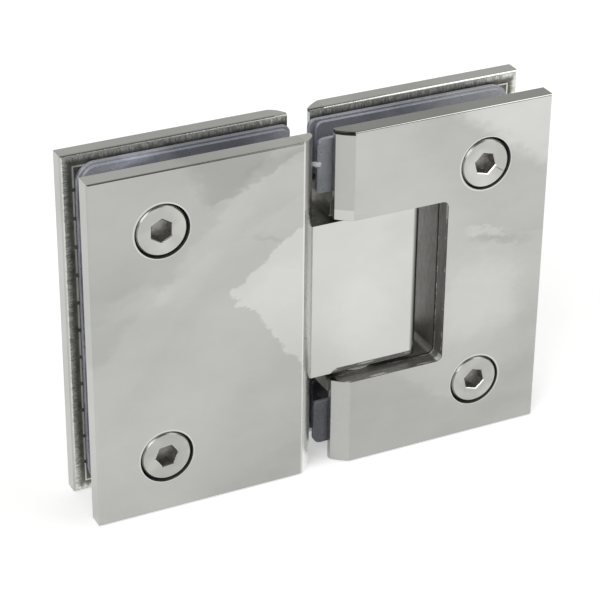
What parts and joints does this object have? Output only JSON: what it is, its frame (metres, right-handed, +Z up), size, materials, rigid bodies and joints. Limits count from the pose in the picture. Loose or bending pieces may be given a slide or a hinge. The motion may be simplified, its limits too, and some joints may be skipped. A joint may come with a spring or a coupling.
{
  "type": "glass-to-glass shower door hinge",
  "caption": "Shower door hinge that clamps two glass panes edge to edge, with a pivot block between C-shaped door plates.",
  "frame": {"origin": "under the middle of the hinge, at the height of the plates' lower edges", "axes": "+X across the hinge from the fixed half to the door half, +Y from the front plates to the rear plates, +Z up along the pin"},
  "size_m": [0.12, 0.0208, 0.09],
  "materials": {
    "polished_metal": "mirror polished and bright plated outside, left as cast inside",
    "block_metal": "mirror polished front and back, as cast above, below and on the tongue",
    "screw_metal": "bright plated",
    "plain_steel": "zinc passivated",
    "hard_steel": "ground",
    "spring_steel": "oiled wire",
    "bush_bronze": "sintered",
    "white_washer": "matt",
    "clear_gasket": "soft translucent"
  },
  "bodies": {
    "fixed_half": {"fixed_front_plate": "polished_metal", "fixed_rear_plate": "polished_metal", "fixed_front_gasket": "clear_gasket", "fixed_rear_gasket": "clear_gasket", "fixed_shim_gasket": "clear_gasket", "fixed_clamp_screws": "screw_metal", "pivot_block": "block_metal", "block_screws": "plain_steel", "upper_bush": "bush_bronze", "lower_bush": "bush_bronze", "upper_washer": "white_washer", "lower_washer": "white_washer", "detent_follower": "hard_steel", "lower_detent_spring": "spring_steel", "upper_detent_spring": "spring_steel", "spring_cap": "plain_steel", "cap_pin": "hard_steel"},
    "door_half": {"door_front_plate": "polished_metal", "door_rear_plate": "polished_metal", "door_front_gasket": "clear_gasket", "door_rear_gasket": "clear_gasket", "door_shim_gasket": "clear_gasket", "door_clamp_screws": "screw_metal", "hinge_pin": "hard_steel", "upper_pin_keeper": "plain_steel", "lower_pin_keeper": "plain_steel", "keeper_screws": "plain_steel"}
  },
  "joints": [
    {"name": "door_swing", "type": "hinge", "parent": "fixed_half", "child": "door_half", "pos_m": [0.012, 0, 0.045], "axis": [0, 0, 1], "range_deg": [-90, 90]}
  ]
}
